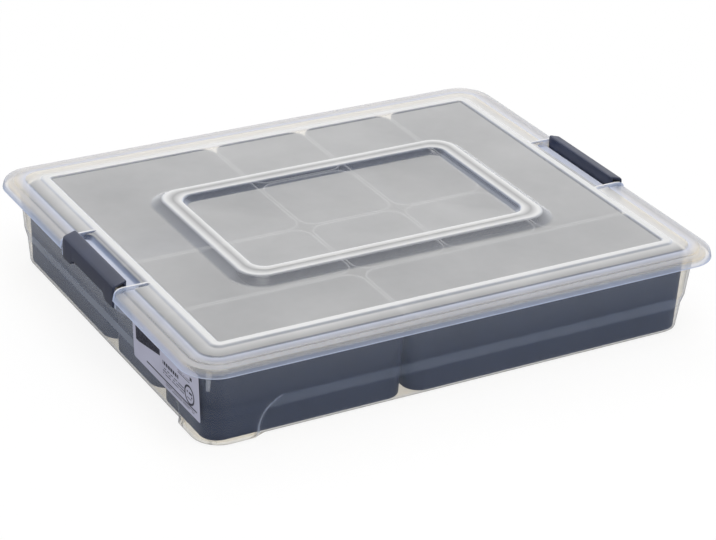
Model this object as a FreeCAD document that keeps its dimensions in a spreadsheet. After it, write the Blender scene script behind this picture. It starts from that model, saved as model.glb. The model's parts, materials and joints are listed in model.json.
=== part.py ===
import FreeCAD, Part
import Sketcher
import math
import os
from types import SimpleNamespace

# Compartment storage box: a clear shallow box, a milky lid, two snap clips and ten loose trays.
# Millimetres. +X along the long side, +Y to the back, +Z up, origin under the middle of the box.

doc = FreeCAD.newDocument("compartment_storage_box")

# Driving sizes in millimetres or counts: name, value and what it measures.
SIZES = [
    ("lid_length", 400.0, "outer length over the rim of the lid"),
    ("lid_width", 324.0, "outer width over the rim of the lid"),
    ("lid_corner", 23.0, "corner radius of the lid in plan"),
    ("rim_level", 63.2, "height of the outer band of the rim"),
    ("rim_step", 0.8, "rise of each of the two steps of the rim"),
    ("rim_band", 5.5, "width of the outer band of the rim"),
    ("rim_shoulder", 7.5, "width of the second band of the rim"),
    ("skirt_height", 5.7, "height of the skirt under the outer band"),
    ("skirt_flare", 1.3, "outward flare of the skirt at its lower edge"),
    ("skirt_wall", 1.6, "wall of the skirt"),
    ("lid_wall", 1.4, "wall of the field and the ring of the lid"),
    ("ridge_inset", 23.0, "lid edge to the outer side of the ridge"),
    ("ridge_band", 7.0, "width of the ridge round the field"),
    ("ridge_rise", 1.3, "height of the ridge above the field"),
    ("ridge_corner", 16.0, "outer corner radius of the ridge"),
    ("ring_length", 250.0, "length of the raised ring at its foot"),
    ("ring_width", 158.0, "width of the raised ring at its foot"),
    ("ring_rise", 5.0, "height of the ring above the field"),
    ("ring_slope", 8.0, "plan width of the outer slope of the ring"),
    ("ring_band", 11.0, "flat top of the ring"),
    ("ring_inner_slope", 3.5, "plan width of the inner slope of the ring"),
    ("ring_foot_corner", 22.0, "corner radius of the ring at its foot"),
    ("ring_crown_corner", 16.0, "corner radius of the ring at its top"),
    ("ring_recess_corner", 11.0, "corner radius of the recess at its top"),
    ("ring_floor_corner", 8.0, "corner radius of the recess at its floor"),
    ("notch_span", 83.0, "clear width of each clip notch in the lid"),
    ("notch_depth", 10.2, "lid edge to the inner end of the open notch"),
    ("notch_border", 1.8, "border round each notch"),
    ("notch_rise", 0.5, "height of the notch border above the rim"),
    ("ledge_depth", 10.5, "depth of the ledge behind each open notch"),
    ("ledge_wall", 1.4, "thickness of the ledge"),
    ("ledge_corner", 5.0, "corner radius of the ledge"),
    ("locating_gap", 0.5, "play between the box wall and the rib of the lid"),
    ("locating_rib", 1.3, "thickness of the locating rib of the lid"),
    ("locating_drop", 1.2, "how far the locating rib enters the box"),
    ("box_level", 59.5, "height of the flange of the box"),
    ("wall_inset", 10.0, "lid edge to the box wall just under the flange"),
    ("wall_draft", 2.0, "inward lean of the upper wall down to the step"),
    ("step_top", 28.5, "height where the wall steps inward"),
    ("step_drop", 9.5, "height of the sloping step band"),
    ("step_depth", 1.8, "how far the wall steps inward"),
    ("foot_draft", 1.4, "inward lean of the lower wall down to the base"),
    ("wall_corner", 15.0, "corner radius of the box wall"),
    ("box_wall", 1.6, "wall of the box"),
    ("floor_wall", 1.8, "floor of the box"),
    ("base_round", 4.0, "round between the floor and the wall, outside"),
    ("post_length", 42.0, "corner post along the wall"),
    ("post_draft", 1.2, "inward lean of the corner post below the step"),
    ("flange_inset", 2.7, "lid edge to the edge of the flange"),
    ("flange_wall", 1.5, "thickness of the flange"),
    ("lip_inset", 4.8, "lid edge to the upstanding lip of the box"),
    ("lip_wall", 1.4, "thickness of the upstanding lip"),
    ("lip_rise", 2.2, "height of the lip above the flange, which carries the lid"),
    ("lip_clearance", 3.0, "end of the lip to the side of the clip notch"),
    ("lug_edge", 0.4, "lid edge to the outer edge of the hinge lugs"),
    ("lug_height", 16.0, "height of each hinge lug below the flange"),
    ("lug_wall", 2.6, "thickness of each hinge lug"),
    ("lug_gap", 0.4, "side play between a clip foot and its lug"),
    ("tray_play", 3.4, "play between the outer trays and the box wall at its top"),
    ("tray_gap", 1.0, "gap between neighbouring trays"),
    ("tray_level", 59.0, "height of the tray rims above the ground"),
    ("tray_seat", 0.3, "clearance between tray and floor"),
    ("tray_wall", 1.3, "wall of the trays"),
    ("tray_floor", 1.4, "floor of the trays"),
    ("tray_draft", 2.0, "inward lean of a tray wall over its height"),
    ("tray_corner", 12.0, "corner radius of the trays"),
    ("tray_round", 2.8, "round between the floor and the wall of a tray"),
    ("clip_length", 81.0, "length of each clip along the short side"),
    ("clip_wall", 2.0, "wall of the clips"),
    ("clip_outset", 0.6, "clip face beyond the lid edge"),
    ("clip_shoulder", 67.5, "height where the face of a clip turns inward"),
    ("clip_crest", 70.2, "height of the top edge of a clip"),
    ("clip_reach", 7.1, "clip face to the top edge in plan"),
    ("clip_nose", 3.0, "plan width of the sloping nose of a clip"),
    ("nose_drop", 1.0, "fall of the nose below the top edge"),
    ("clip_toe", 60.0, "height of the end of the hook"),
    ("clip_skirt", 56.0, "height of the lower edge of a clip between its feet"),
    ("hinge_level", 53.5, "height of the clip hinge axis"),
    ("hinge_inset", 3.2, "lid edge to the clip hinge axis"),
    ("barrel_radius", 2.2, "radius of the hinge barrel of a clip foot"),
    ("pin_radius", 1.2, "radius of the moulded hinge pins"),
    ("pin_play", 0.25, "radial play of a pin in its lug"),
    ("pin_overhang", 1.2, "pin end beyond its lug"),
    ("foot_width", 11.0, "width of each clip foot"),
    ("foot_taper", 6.0, "width of the sloping edge beside each clip foot"),
    ("label_length", 97.0, "length of the paper label"),
    ("label_height", 35.0, "height of the paper label"),
    ("label_level", 17.0, "height of the lower edge of the label"),
    ("label_margin", 18.5, "lid edge to the near end of the label"),
    ("label_wall", 0.3, "thickness of the label"),
]

# Trays as cells of the grid, counted from the left and from the front: column, row, columns, rows.
TRAYS = {
    "tray_large_square": (0, 2, 2, 2),
    "tray_wide_middle": (0, 1, 2, 1),
    "tray_wide_front": (0, 0, 2, 1),
    "tray_long_front": (2, 0, 3, 1),
    "tray_small_back": (2, 3, 1, 1),
    "tray_small_centre": (2, 2, 1, 1),
    "tray_small_inner": (2, 1, 1, 1),
    "tray_deep_back": (3, 2, 1, 2),
    "tray_small_right": (3, 1, 1, 1),
    "tray_deep_right": (4, 1, 1, 3),
}
GRID_COLUMNS = 5
GRID_ROWS = 4

# Sections that approximate the quarter round under a wall.
ROUND_STEPS = 3

sheet = doc.addObject("Spreadsheet::Sheet", "sizes")
sheet.Label = "sizes"
for row, (name, number, meaning) in enumerate(SIZES, start=1):
    sheet.set("A%d" % row, name)
    sheet.set("B%d" % row, str(number))
    sheet.set("C%d" % row, meaning)
    sheet.setAlias("B%d" % row, name)
doc.recompute()


class Size:
    """A number together with the sheet expression that it comes from."""

    def __init__(self, number, text):
        self.number = number
        self.text = text

    def joined(self, other, sign, number):
        return Size(number, "(%s %s %s)" % (self.text, sign, other.text))

    def __add__(self, other):
        other = as_size(other)
        return self.joined(other, "+", self.number + other.number)

    def __sub__(self, other):
        other = as_size(other)
        return self.joined(other, "-", self.number - other.number)

    def __mul__(self, other):
        other = as_size(other)
        return self.joined(other, "*", self.number * other.number)

    def __truediv__(self, other):
        other = as_size(other)
        return self.joined(other, "/", self.number / other.number)

    def __neg__(self):
        return as_size(0) - self

    def __radd__(self, other):
        return as_size(other) + self

    def __rsub__(self, other):
        return as_size(other) - self

    def __rmul__(self, other):
        return as_size(other) * self


def as_size(value):
    """Turn a plain number into a size."""
    return value if isinstance(value, Size) else Size(float(value), "%.9f" % value)


s = SimpleNamespace(**{name: Size(number, "sizes." + name) for name, number, _meaning in SIZES})


# Sketch helpers

def new_body(name):
    """Make an empty body, labelled with its file name."""
    body = doc.addObject("PartDesign::Body", name)
    body.Label = name
    return body


def new_sketch(body, name, role, offset):
    """Attach a sketch to an origin plane of the body, moved along the normal of the plane."""
    plane = next(item for item in body.Origin.OriginFeatures if item.Role == role)
    sketch = body.newObject("Sketcher::SketchObject", name)
    sketch.AttachmentSupport = [(plane, "")]
    sketch.MapMode = "FlatFace"
    sketch.AttachmentOffset.Base.z = offset.number
    sketch.setExpression("AttachmentOffset.Base.z", offset.text)
    return sketch


def level_sketch(body, name, level):
    """Start a horizontal sketch at a height."""
    return new_sketch(body, name, "XY_Plane", as_size(level))


def drive(sketch, constraint, name, size):
    """Add a constraint, name it and bind it to the sheet."""
    position = sketch.addConstraint(constraint)
    sketch.renameConstraint(position, name)
    sketch.setExpression("Constraints." + name, size.text)


def place_point(sketch, geometry, end, name, x, y):
    """Hold one end point of a line at x and y."""
    drive(sketch, Sketcher.Constraint("DistanceX", geometry, end, x.number), name + "_x", x)
    drive(sketch, Sketcher.Constraint("DistanceY", geometry, end, y.number), name + "_y", y)


def draw_polygon(sketch, name, points):
    """Draw a closed polygon whose corners are all held."""
    points = [(as_size(x), as_size(y)) for x, y in points]
    first = sketch.GeometryCount
    corners = [FreeCAD.Vector(x.number, y.number, 0) for x, y in points]
    for index, corner in enumerate(corners):
        following = corners[(index + 1) % len(corners)]
        sketch.addGeometry(Part.LineSegment(corner, following), False)
    for index, (x, y) in enumerate(points):
        following = first + (index + 1) % len(points)
        sketch.addConstraint(Sketcher.Constraint("Coincident", first + index, 2, following, 1))
        place_point(sketch, first + index, 1, "%s%d" % (name, index), x, y)


def draw_circle(sketch, name, x, y, radius):
    """Draw a circle with a held centre."""
    centre = FreeCAD.Vector(x.number, y.number, 0)
    normal = FreeCAD.Vector(0, 0, 1)
    index = sketch.addGeometry(Part.Circle(centre, normal, radius.number), False)
    place_point(sketch, index, 3, name, x, y)
    drive(sketch, Sketcher.Constraint("Radius", index, radius.number), name + "_radius", radius)


def draw_rounded(sketch, name, left, right, front, back, radius):
    """Draw a rectangle with rounded corners between four held sides."""
    left, right, front, back = (as_size(side) for side in (left, right, front, back))
    radius = as_size(radius)
    x0, x1, y0, y1 = left.number, right.number, front.number, back.number
    r = radius.number
    sides = [
        ((x0 + r, y0), (x1 - r, y0)),
        ((x1, y0 + r), (x1, y1 - r)),
        ((x1 - r, y1), (x0 + r, y1)),
        ((x0, y1 - r), (x0, y0 + r)),
    ]
    centres = [(x1 - r, y0 + r), (x1 - r, y1 - r), (x0 + r, y1 - r), (x0 + r, y0 + r)]
    lines = []
    arcs = []
    for number, (start, end) in enumerate(sides):
        line = Part.LineSegment(FreeCAD.Vector(*start, 0), FreeCAD.Vector(*end, 0))
        lines.append(sketch.addGeometry(line, False))
        circle = Part.Circle(FreeCAD.Vector(*centres[number], 0), FreeCAD.Vector(0, 0, 1), r)
        begin = math.radians(-90 + 90 * number)
        arc = Part.ArcOfCircle(circle, begin, begin + math.pi / 2)
        arcs.append(sketch.addGeometry(arc, False))
    for number in range(4):
        sketch.addConstraint(Sketcher.Constraint("Tangent", lines[number], 2, arcs[number], 1))
        following = lines[(number + 1) % 4]
        sketch.addConstraint(Sketcher.Constraint("Tangent", arcs[number], 2, following, 1))
    for number in range(1, 4):
        sketch.addConstraint(Sketcher.Constraint("Equal", arcs[0], arcs[number]))
    sketch.addConstraint(Sketcher.Constraint("Horizontal", lines[0]))
    sketch.addConstraint(Sketcher.Constraint("Vertical", lines[1]))
    drive(sketch, Sketcher.Constraint("DistanceY", lines[0], 1, y0), name + "_front", front)
    drive(sketch, Sketcher.Constraint("DistanceX", lines[1], 1, x1), name + "_right", right)
    drive(sketch, Sketcher.Constraint("DistanceY", lines[2], 1, y1), name + "_back", back)
    drive(sketch, Sketcher.Constraint("DistanceX", lines[3], 1, x0), name + "_left", left)
    drive(sketch, Sketcher.Constraint("Radius", arcs[0], r), name + "_radius", radius)


def draw_inset(sketch, name, inset, radius):
    """Draw the outline of the lid, moved inward by an inset."""
    half_x = s.lid_length / 2 - inset
    half_y = s.lid_width / 2 - inset
    draw_rounded(sketch, name, -half_x, half_x, -half_y, half_y, radius)


def inset_sketch(body, name, level, inset, radius):
    """Start a horizontal sketch that holds one inset outline of the lid."""
    sketch = level_sketch(body, name, level)
    draw_inset(sketch, "outline", inset, radius)
    return sketch


# Feature helpers

def extrude(body, kind, sketch, length, both_ways=False):
    """Pad or pocket a sketch along its normal by a length."""
    feature = body.newObject("PartDesign::" + kind, sketch.Name + "_" + kind.lower())
    feature.Profile = sketch
    if kind == "Pocket":
        feature.Reversed = True
    if both_ways:
        feature.Midplane = True
    length = as_size(length)
    feature.Length = length.number
    feature.setExpression("Length", length.text)
    return feature


def loft(body, kind, sketches):
    """Join sketches with straight walls, adding to the body or cutting it."""
    feature = body.newObject("PartDesign::" + kind, sketches[0].Name + "_loft")
    feature.Profile = sketches[0]
    feature.Sections = sketches[1:]
    feature.Ruled = True
    return feature


def quarter_round(radius):
    """Yield the inward shift and the rise of each section of a round under a wall."""
    for step in range(ROUND_STEPS + 1):
        angle = math.pi / 2 * step / ROUND_STEPS
        yield radius * (1 - math.sin(angle)), radius * (1 - math.cos(angle))


# Sizes worked out from the driving sizes

rim_shoulder_level = s.rim_level + s.rim_step
field_level = s.rim_level + 2 * s.rim_step
field_underside = field_level - s.lid_wall
ring_top = field_level + s.ring_rise
skirt_bottom = s.rim_level - s.skirt_height
lid_seat = s.box_level + s.lip_rise

step_inset = s.wall_inset + s.wall_draft
lower_inset = step_inset + s.step_depth
foot_inset = lower_inset + s.foot_draft
step_bottom = s.step_top - s.step_drop

wall_inside = s.wall_inset + s.box_wall
rib_inset = wall_inside + s.locating_gap
rib_corner = s.wall_corner - s.box_wall - s.locating_gap
open_end = s.lid_length / 2 - s.notch_depth
ledge_end = open_end - s.ledge_depth

clip_face = s.lid_length / 2 + s.clip_outset
hinge_x = s.lid_length / 2 - s.hinge_inset
lug_place = s.clip_length / 2 + s.lug_gap + s.lug_wall / 2

cell_length = (s.lid_length - 2 * (wall_inside + s.tray_play)) / GRID_COLUMNS
cell_width = (s.lid_width - 2 * (wall_inside + s.tray_play)) / GRID_ROWS


# Box

def wall_sections(body, name, offset, bottom, rounding):
    """Sketch the outline of the box wall at each level, moved inward by an offset."""
    radius = s.wall_corner - offset
    levels = []
    for shift, rise in quarter_round(rounding):
        levels.append((bottom + rise, foot_inset + shift))
    levels.append((step_bottom, lower_inset))
    levels.append((s.step_top, step_inset))
    levels.append((s.box_level, s.wall_inset))
    return [
        inset_sketch(body, "%s_%d" % (name, index), level, inset + offset, radius)
        for index, (level, inset) in enumerate(levels)
    ]


def add_post(body, side):
    """Add a corner post that keeps the upper wall going down to the base."""
    name = "post_left" if side < 0 else "post_right"
    levels = []
    for shift, rise in quarter_round(s.base_round):
        levels.append((rise, step_inset + s.post_draft + shift))
    levels.append((s.step_top, step_inset))
    sketches = []
    for index, (level, inset) in enumerate(levels):
        outer_x = side * (s.lid_length / 2 - inset)
        outer_y = side * (s.lid_width / 2 - inset)
        inner_x = side * (s.lid_length / 2 - foot_inset - s.post_length)
        inner_y = side * (s.lid_width / 2 - foot_inset - s.post_length)
        spans_x = (outer_x, inner_x) if side < 0 else (inner_x, outer_x)
        spans_y = (outer_y, inner_y) if side < 0 else (inner_y, outer_y)
        sketch = level_sketch(body, "%s_%d" % (name, index), level)
        draw_rounded(sketch, "post", *spans_x, *spans_y, s.wall_corner)
        sketches.append(sketch)
    loft(body, "AdditiveLoft", sketches)


def add_lugs(body, side):
    """Add the two hinge lugs of one short side and bore them for the pins."""
    name = "lug_left" if side < 0 else "lug_right"
    root = side * (s.lid_length / 2 - s.wall_inset - 0.9 * s.box_wall)
    edge = side * (s.lid_length / 2 - s.lug_edge)
    shoulder = side * (s.lid_length / 2 - s.flange_inset - s.lug_edge)
    head = s.box_level - s.flange_wall / 2
    outline = [
        (root, s.box_level - s.lug_height),
        (edge, s.hinge_level - s.barrel_radius),
        (edge, skirt_bottom - 1.2),
        (shoulder, skirt_bottom - s.lug_edge),
        (shoulder, head),
        (root, head),
    ]
    for index, place in enumerate((-lug_place, lug_place)):
        sketch = new_sketch(body, "%s_%d" % (name, index), "XZ_Plane", place)
        draw_polygon(sketch, "corner", outline)
        extrude(body, "Pad", sketch, s.lug_wall, both_ways=True)
    bore = new_sketch(body, name + "_bore", "XZ_Plane", as_size(0))
    draw_circle(bore, "pin", side * hinge_x, s.hinge_level, s.pin_radius + s.pin_play)
    extrude(body, "Pocket", bore, 2 * (lug_place + s.lug_wall), both_ways=True)


def make_box():
    """Build the clear box with its step, posts, flange, lip and lugs."""
    body = new_body("box_base")
    loft(body, "AdditiveLoft", wall_sections(body, "outer", as_size(0), as_size(0), s.base_round))
    for side in (-1, 1):
        add_post(body, side)
    flange = inset_sketch(
        body, "flange", s.box_level - s.flange_wall, s.flange_inset, s.lid_corner - s.flange_inset
    )
    extrude(body, "Pad", flange, s.flange_wall)
    lip = level_sketch(body, "lip", s.box_level)
    draw_inset(lip, "outside", s.lip_inset, s.lid_corner - s.lip_inset)
    lip_inside = s.lip_inset + s.lip_wall
    draw_inset(lip, "inside", lip_inside, s.lid_corner - lip_inside)
    extrude(body, "Pad", lip, s.lip_rise)
    inner_round = s.base_round - s.box_wall
    cavity = wall_sections(body, "inner", s.box_wall, s.floor_wall, inner_round)
    loft(body, "SubtractiveLoft", cavity)
    gap = s.notch_span / 2 + s.lip_clearance
    for side in (-1, 1):
        near = side * (s.lid_length / 2 - s.lip_inset - 2 * s.lip_wall)
        far = side * (s.lid_length / 2)
        relief = level_sketch(body, "relief_left" if side < 0 else "relief_right", s.box_level)
        draw_polygon(relief, "corner", [(near, -gap), (far, -gap), (far, gap), (near, gap)])
        extrude(body, "Pocket", relief, 2 * s.lip_rise)
        add_lugs(body, side)
    return body


# Lid

def draw_ring(sketch, name, inset, radius):
    """Draw the outline of the raised ring, moved inward by an inset."""
    half_x = s.ring_length / 2 - inset
    half_y = s.ring_width / 2 - inset
    draw_rounded(sketch, name, -half_x, half_x, -half_y, half_y, radius)


def ring_loft(body, kind, name, low, high):
    """Loft between two ring outlines, each given as level, inset and radius."""
    sketches = []
    for index, (level, inset, radius) in enumerate((low, high)):
        sketch = level_sketch(body, "%s_%d" % (name, index), level)
        draw_ring(sketch, "outline", inset, radius)
        sketches.append(sketch)
    loft(body, kind, sketches)


def add_ring(body):
    """Raise the hollow ring in the middle of the field."""
    crown_inset = s.ring_slope
    recess_inset = s.ring_slope + s.ring_band
    floor_inset = recess_inset + s.ring_inner_slope
    foot = (field_level, as_size(0), s.ring_foot_corner)
    crown = (ring_top, crown_inset, s.ring_crown_corner)
    ring_loft(body, "AdditiveLoft", "ring", foot, crown)
    hollow_foot = (field_underside, as_size(0), s.ring_foot_corner)
    hollow_crown = (ring_top - s.lid_wall, crown_inset, s.ring_crown_corner)
    ring_loft(body, "SubtractiveLoft", "hollow", hollow_foot, hollow_crown)
    wall = s.lid_wall
    core_foot = (field_underside, floor_inset - wall, s.ring_floor_corner + wall)
    core_crown = (ring_top - s.lid_wall, recess_inset - wall, s.ring_recess_corner + wall)
    ring_loft(body, "AdditiveLoft", "core", core_foot, core_crown)
    recess_top = (ring_top, recess_inset, s.ring_recess_corner)
    recess_floor = (field_level, floor_inset, s.ring_floor_corner)
    ring_loft(body, "SubtractiveLoft", "recess", recess_floor, recess_top)


def add_notch(body, side):
    """Cut the clip notch into one short side and give it a border and a ledge."""
    name = "notch_left" if side < 0 else "notch_right"
    half_span = s.notch_span / 2
    outer_half = half_span + s.notch_border
    inner = side * (ledge_end - s.notch_border)
    rim = side * (s.lid_length / 2 - s.notch_border)
    low = s.box_level + s.tray_seat
    border = level_sketch(body, name + "_border", low)
    corners = [(inner, -outer_half), (rim, -outer_half), (rim, outer_half), (inner, outer_half)]
    draw_polygon(border, "corner", corners)
    extrude(body, "Pad", border, field_level + s.notch_rise - low)

    beyond = side * (s.lid_length / 2 + 4 * s.skirt_flare)
    open_x = side * open_end
    opening = level_sketch(body, name + "_open", ring_top)
    corners = [(open_x, -half_span), (beyond, -half_span), (beyond, half_span), (open_x, half_span)]
    draw_polygon(opening, "corner", corners)
    cut = extrude(body, "Pocket", opening, ring_top)
    cut.Reversed = False

    spans = (side * ledge_end, side * s.lid_length / 2)
    spans = spans if side > 0 else spans[::-1]
    ledge = level_sketch(body, name + "_ledge", low + s.ledge_wall)
    draw_rounded(ledge, "ledge", *spans, -half_span, half_span, s.ledge_corner)
    extrude(body, "Pocket", ledge, ring_top)


def make_lid():
    """Build the lid: flared skirt, stepped rim, ridge, field, raised ring and notches."""
    body = new_body("lid")
    skirt = [
        inset_sketch(body, "skirt_low", skirt_bottom, -s.skirt_flare, s.lid_corner + s.skirt_flare),
        inset_sketch(body, "skirt_high", s.rim_level, as_size(0), s.lid_corner),
    ]
    loft(body, "AdditiveLoft", skirt)
    shoulder = inset_sketch(body, "shoulder", s.rim_level, s.rim_band, s.lid_corner - s.rim_band)
    extrude(body, "Pad", shoulder, s.rim_step)
    plateau_inset = s.rim_band + s.rim_shoulder
    plateau = inset_sketch(
        body, "plateau", rim_shoulder_level, plateau_inset, s.lid_corner - plateau_inset
    )
    extrude(body, "Pad", plateau, s.rim_step)
    ridge = level_sketch(body, "ridge", field_level)
    draw_inset(ridge, "outside", s.ridge_inset, s.ridge_corner)
    draw_inset(ridge, "inside", s.ridge_inset + s.ridge_band, s.ridge_corner - s.ridge_band)
    extrude(body, "Pad", ridge, s.ridge_rise)

    skirt_inside = s.skirt_wall - s.skirt_flare
    hollow = [
        inset_sketch(body, "hollow_low", skirt_bottom, skirt_inside, s.lid_corner - skirt_inside),
        inset_sketch(body, "hollow_high", lid_seat, s.skirt_wall, s.lid_corner - s.skirt_wall),
    ]
    loft(body, "SubtractiveLoft", hollow)
    rib_inside = rib_inset + s.locating_rib
    inside_corner = rib_corner - s.locating_rib
    underside = inset_sketch(body, "underside", lid_seat, rib_inside, inside_corner)
    extrude(body, "Pocket", underside, field_underside - lid_seat)
    rib = level_sketch(body, "rib", s.box_level - s.locating_drop)
    draw_inset(rib, "outside", rib_inset, rib_corner)
    draw_inset(rib, "inside", rib_inside, inside_corner)
    extrude(body, "Pad", rib, lid_seat + s.locating_drop - s.box_level)

    add_ring(body)
    for side in (-1, 1):
        add_notch(body, side)
    return body


# Clips

def make_clip(name, side):
    """Build one snap clip: face with two feet, sloping top, hook, barrels and pins."""
    body = new_body(name)
    crest = clip_face - s.clip_reach
    nose = crest - s.clip_nose
    foot_bottom = s.hinge_level - s.barrel_radius
    half = s.clip_length / 2
    foot_inside = half - s.foot_width
    taper_end = foot_inside - s.foot_taper

    face = new_sketch(body, name + "_face", "YZ_Plane", side * (clip_face - s.clip_wall / 2))
    draw_polygon(
        face,
        "corner",
        [
            (-half, foot_bottom),
            (-foot_inside, foot_bottom),
            (-taper_end, s.clip_skirt),
            (taper_end, s.clip_skirt),
            (foot_inside, foot_bottom),
            (half, foot_bottom),
            (half, s.clip_shoulder - s.clip_wall / 2),
            (-half, s.clip_shoulder - s.clip_wall / 2),
        ],
    )
    extrude(body, "Pad", face, s.clip_wall, both_ways=True)

    hook = new_sketch(body, name + "_hook", "XZ_Plane", as_size(0))
    low_shoulder = s.clip_shoulder - s.clip_wall
    draw_polygon(
        hook,
        "corner",
        [
            (side * clip_face, low_shoulder),
            (side * clip_face, s.clip_shoulder),
            (side * crest, s.clip_crest),
            (side * nose, s.clip_crest - s.nose_drop),
            (side * nose, s.clip_toe),
            (side * (nose + s.clip_wall), s.clip_toe),
            (side * (nose + s.clip_wall), s.clip_crest - s.clip_wall - s.nose_drop / 2),
            (side * (clip_face - s.clip_wall), low_shoulder),
        ],
    )
    extrude(body, "Pad", hook, s.clip_length, both_ways=True)

    pin_length = s.foot_width / 2 + s.lug_gap + s.lug_wall + s.pin_overhang
    middle = half - s.foot_width / 2
    pin_middle = middle + pin_length / 2
    for index, (place, pin_place) in enumerate(((-middle, -pin_middle), (middle, pin_middle))):
        barrel = new_sketch(body, "%s_barrel_%d" % (name, index), "XZ_Plane", place)
        draw_circle(barrel, "barrel", side * hinge_x, s.hinge_level, s.barrel_radius)
        extrude(body, "Pad", barrel, s.foot_width, both_ways=True)
        web = new_sketch(body, "%s_web_%d" % (name, index), "XZ_Plane", place)
        draw_polygon(
            web,
            "corner",
            [
                (side * hinge_x, foot_bottom),
                (side * (clip_face - s.clip_wall / 2), foot_bottom),
                (side * (clip_face - s.clip_wall / 2), s.hinge_level + s.barrel_radius),
                (side * hinge_x, s.hinge_level + s.barrel_radius),
            ],
        )
        extrude(body, "Pad", web, s.foot_width, both_ways=True)
        pin = new_sketch(body, "%s_pin_%d" % (name, index), "XZ_Plane", pin_place)
        draw_circle(pin, "pin", side * hinge_x, s.hinge_level, s.pin_radius)
        extrude(body, "Pad", pin, pin_length, both_ways=True)
    return body


# Trays

def tray_outline(sketch, cells, inset, radius):
    """Draw the outline of one tray, moved inward by an inset."""
    column, row, columns, rows = cells
    margin = s.tray_gap / 2 + inset
    left = (column - GRID_COLUMNS / 2) * cell_length + margin
    right = (column + columns - GRID_COLUMNS / 2) * cell_length - margin
    front = (row - GRID_ROWS / 2) * cell_width + margin
    back = (row + rows - GRID_ROWS / 2) * cell_width - margin
    draw_rounded(sketch, "tray", left, right, front, back, radius)


def tray_sections(body, name, cells, offset, bottom, rounding):
    """Sketch a tray at each level of its wall, moved inward by an offset."""
    levels = [(bottom + rise, s.tray_draft + shift) for shift, rise in quarter_round(rounding)]
    levels.append((s.tray_level, as_size(0)))
    sketches = []
    for index, (level, inset) in enumerate(levels):
        sketch = level_sketch(body, "%s_%d" % (name, index), level)
        tray_outline(sketch, cells, inset + offset, s.tray_corner - offset)
        sketches.append(sketch)
    return sketches


def make_tray(name, cells):
    """Build one open tray with drafted walls and rounded corners."""
    body = new_body(name)
    bottom = s.floor_wall + s.tray_seat
    shell = tray_sections(body, name + "_shell", cells, as_size(0), bottom, s.tray_round)
    loft(body, "AdditiveLoft", shell)
    inside = bottom + s.tray_floor
    inner_round = s.tray_round - s.tray_wall
    hollow = tray_sections(body, name + "_hollow", cells, s.tray_wall, inside, inner_round)
    loft(body, "SubtractiveLoft", hollow)
    return body


# Label

def make_label():
    """Build the paper label on the left short side, leaning with the wall."""
    body = new_body("product_label")
    top = s.label_level + s.label_height
    low_inset = step_inset + s.post_draft * (s.step_top - s.label_level) / s.step_top
    high_inset = s.wall_inset + s.wall_draft * (s.box_level - top) / (s.box_level - s.step_top)
    front = -(s.lid_width / 2 - s.label_margin)
    back = front + s.label_length
    sketches = []
    for index, (level, inset) in enumerate(((s.label_level, low_inset), (top, high_inset))):
        inner = -(s.lid_length / 2 - inset)
        outer = inner - s.label_wall
        sketch = level_sketch(body, "label_%d" % index, level)
        draw_polygon(sketch, "corner", [(outer, front), (inner, front), (inner, back), (outer, back)])
        sketches.append(sketch)
    loft(body, "AdditiveLoft", sketches)
    return body


# Build, check and export

bodies = [make_box(), make_lid(), make_clip("clip_left", -1), make_clip("clip_right", 1)]
bodies += [make_tray(name, cells) for name, cells in TRAYS.items()]
bodies.append(make_label())
doc.recompute()

for item in doc.Objects:
    if "Invalid" in item.State or "Error" in item.State:
        raise RuntimeError("%s has state %s" % (item.Name, item.State))

os.makedirs("parts", exist_ok=True)
for body in bodies:
    shape = body.Shape
    if shape.isNull() or not shape.isValid() or len(shape.Solids) != 1:
        raise RuntimeError("%s is not one valid solid" % body.Label)
    shape.exportStep("parts/%s.step" % body.Label)
    print(body.Label, [round(value, 1) for value in (shape.BoundBox.XLength,
          shape.BoundBox.YLength, shape.BoundBox.ZLength)], round(shape.Volume / 1000, 1))
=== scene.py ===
import json
import math

import bmesh
import bpy
import numpy as np
from bpy.props import FloatProperty, FloatVectorProperty, PointerProperty
from mathutils import Matrix, Vector

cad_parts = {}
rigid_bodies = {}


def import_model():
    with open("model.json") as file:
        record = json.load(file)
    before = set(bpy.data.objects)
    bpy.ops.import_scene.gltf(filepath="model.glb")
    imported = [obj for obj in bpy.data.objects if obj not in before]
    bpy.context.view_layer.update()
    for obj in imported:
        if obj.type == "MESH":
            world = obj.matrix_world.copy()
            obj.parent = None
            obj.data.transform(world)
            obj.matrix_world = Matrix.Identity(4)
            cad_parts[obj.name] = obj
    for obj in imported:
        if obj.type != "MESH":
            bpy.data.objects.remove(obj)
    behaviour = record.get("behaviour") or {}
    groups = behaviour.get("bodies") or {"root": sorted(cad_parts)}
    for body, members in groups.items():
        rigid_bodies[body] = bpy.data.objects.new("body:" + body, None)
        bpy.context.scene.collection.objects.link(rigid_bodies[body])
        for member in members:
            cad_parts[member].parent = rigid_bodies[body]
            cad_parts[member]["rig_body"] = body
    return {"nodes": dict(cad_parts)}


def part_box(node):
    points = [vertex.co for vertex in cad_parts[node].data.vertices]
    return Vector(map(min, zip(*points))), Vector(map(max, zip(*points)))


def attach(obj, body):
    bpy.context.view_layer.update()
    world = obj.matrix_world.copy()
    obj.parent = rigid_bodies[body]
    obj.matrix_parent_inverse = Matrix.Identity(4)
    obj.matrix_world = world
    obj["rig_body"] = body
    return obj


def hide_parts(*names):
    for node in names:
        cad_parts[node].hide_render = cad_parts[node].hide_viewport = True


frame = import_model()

bl_info = {
    "name": "Compartment storage box",
    "version": (1, 0, 0),
    "blender": (4, 5, 0),
    "location": "3D View > Sidebar > Storage Box",
    "description": "Builds a clear storage box with a milky lid, two clips and ten trays round its frame",
    "category": "Object",
}

MM = 0.001

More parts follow.
